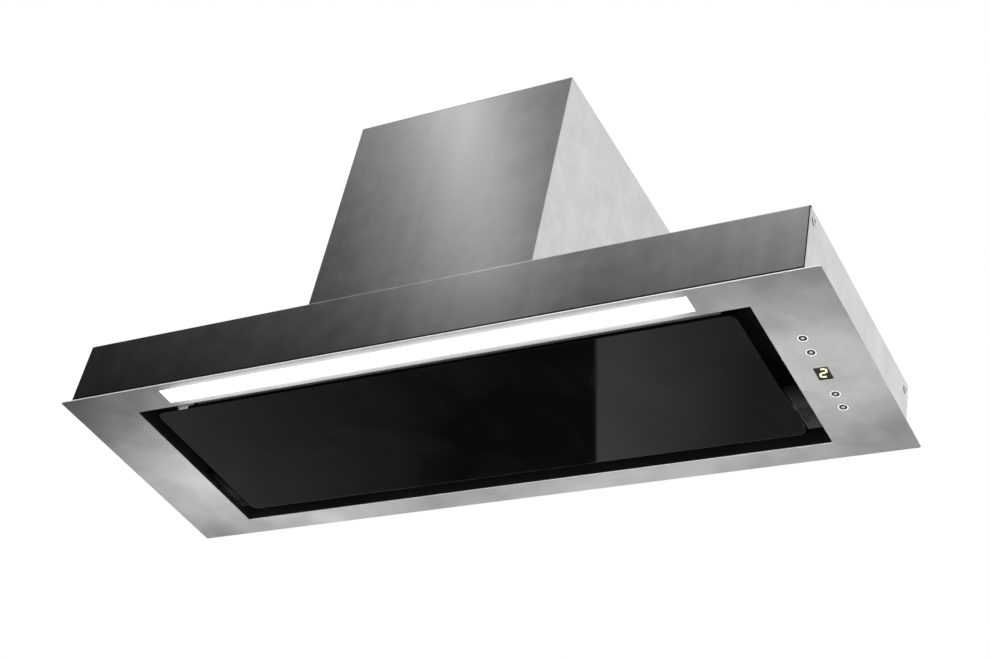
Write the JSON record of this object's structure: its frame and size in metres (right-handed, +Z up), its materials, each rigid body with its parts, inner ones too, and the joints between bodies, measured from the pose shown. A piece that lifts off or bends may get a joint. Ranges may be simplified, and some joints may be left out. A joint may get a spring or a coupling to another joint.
{
  "type": "built-in range hood",
  "caption": "Built-in range hood: shallow steel canopy with a flanged face plate, black glass perimeter suction panel, light strip, push buttons and a motor housing with a duct collar on top.",
  "frame": {"origin": "middle of the face plate's underside, which is the lowest face", "axes": "+X to the right, where the controls are; +Y to the back, away from the light strip; +Z up to the duct collar"},
  "size_m": [0.9, 0.292, 0.381],
  "materials": {
    "brushed_steel": "fine long-grain brushed stainless steel",
    "zinc_sheet": "zinc-coated sheet, faint spangle",
    "zinc_steel": "bright zinc plate",
    "bright_steel": "polished",
    "dark_sheet": "matt black powder coat",
    "black_glass": "opaque gloss black, polished edge",
    "filter_aluminium": "satin",
    "filter_mesh": "layered expanded mesh",
    "black_plastic": "fine grain",
    "grey_plastic": "fine grain",
    "white_plastic": "smooth",
    "opal_plastic": "opal, lit from behind",
    "button_plastic": "dark with a light centre",
    "smoked_window": "smoked olive, clear",
    "lit_segment": "warm white, lit",
    "circuit_board": "solder mask",
    "motor_paint": "dark enamel",
    "rubber": "matt"
  },
  "bodies": {
    "hood": {"face_plate": "brushed_steel", "front_panel": "brushed_steel", "canopy_shell": "brushed_steel", "canopy_top": "zinc_sheet", "side_fixings": "zinc_steel", "housing_wrap": "brushed_steel", "housing_back": "zinc_sheet", "housing_top": "zinc_sheet", "housing_screws": "zinc_steel", "outlet_collar": "black_plastic", "collar_screws": "zinc_steel", "cable_gland": "black_plastic", "scroll_wrap": "zinc_sheet", "scroll_side_left": "zinc_sheet", "scroll_side_right": "zinc_sheet", "motor": "motor_paint", "motor_bracket": "zinc_steel", "motor_grommets": "rubber", "motor_screws": "zinc_steel", "capacitor": "white_plastic", "capacitor_clip": "zinc_steel", "power_box": "grey_plastic", "power_box_lid": "grey_plastic", "power_board": "circuit_board", "filter_deck": "dark_sheet", "filter_divider": "filter_aluminium", "filter_frame_left": "filter_aluminium", "filter_frame_right": "filter_aluminium", "filter_mesh_left": "filter_mesh", "filter_mesh_right": "filter_mesh", "catch_brackets": "dark_sheet", "catch_magnets": "black_plastic", "panel_clip": "bright_steel", "hinge_brackets": "zinc_sheet", "hinge_pins": "zinc_steel", "led_profile": "filter_aluminium", "led_board": "circuit_board", "led_end_caps": "grey_plastic", "led_diffuser": "opal_plastic", "led_driver": "white_plastic", "control_box": "black_plastic", "control_board": "circuit_board", "display_module": "black_plastic", "display_digit": "lit_segment", "display_window": "smoked_window", "button_bezels": "bright_steel"},
    "panel": {"glass_panel": "black_glass", "panel_tape": "rubber", "panel_carrier": "dark_sheet", "panel_strikes": "zinc_steel"},
    "fan_wheel": {"impeller": "zinc_sheet", "motor_shaft": "zinc_steel"},
    "flap_front": {"damper_flap_front": "grey_plastic"},
    "flap_rear": {"damper_flap_rear": "grey_plastic"},
    "latch_left": {"filter_latch_left": "black_plastic"},
    "latch_right": {"filter_latch_right": "black_plastic"},
    "button_1": {"button_cap_1": "button_plastic"},
    "button_2": {"button_cap_2": "button_plastic"},
    "button_3": {"button_cap_3": "button_plastic"},
    "button_4": {"button_cap_4": "button_plastic"}
  },
  "joints": [
    {"name": "panel_hinge", "type": "hinge", "parent": "hood", "child": "panel", "pos_m": [0, 0.0929, 0.013], "axis": [1, 0, 0], "range_deg": [0, 85]},
    {"name": "fan_spin", "type": "hinge", "parent": "hood", "child": "fan_wheel", "pos_m": [0, -0.035, 0.205], "axis": [1, 0, 0], "continuous": true},
    {"name": "flap_front_hinge", "type": "hinge", "parent": "hood", "child": "flap_front", "pos_m": [0, 0.0125, 0.3648], "axis": [-1, 0, 0], "range_deg": [0, 80]},
    {"name": "flap_rear_hinge", "type": "hinge", "parent": "hood", "child": "flap_rear", "pos_m": [0, 0.0215, 0.3648], "axis": [1, 0, 0], "range_deg": [0, 80]},
    {"name": "latch_left_slide", "type": "slide", "parent": "hood", "child": "latch_left", "axis": [0, 1, 0], "range_m": [0, 0.005], "stiffness_N_per_m": 200, "springref_m": -0.003},
    {"name": "latch_right_slide", "type": "slide", "parent": "hood", "child": "latch_right", "axis": [0, 1, 0], "range_m": [0, 0.005], "stiffness_N_per_m": 200, "springref_m": -0.003},
    {"name": "button_1_press", "type": "slide", "parent": "hood", "child": "button_1", "axis": [0, 0, 1], "range_m": [0, 0.001], "stiffness_N_per_m": 40, "springref_m": -0.002},
    {"name": "button_2_press", "type": "slide", "parent": "hood", "child": "button_2", "axis": [0, 0, 1], "range_m": [0, 0.001], "stiffness_N_per_m": 40, "springref_m": -0.002},
    {"name": "button_3_press", "type": "slide", "parent": "hood", "child": "button_3", "axis": [0, 0, 1], "range_m": [0, 0.001], "stiffness_N_per_m": 40, "springref_m": -0.002},
    {"name": "button_4_press", "type": "slide", "parent": "hood", "child": "button_4", "axis": [0, 0, 1], "range_m": [0, 0.001], "stiffness_N_per_m": 40, "springref_m": -0.002}
  ]
}
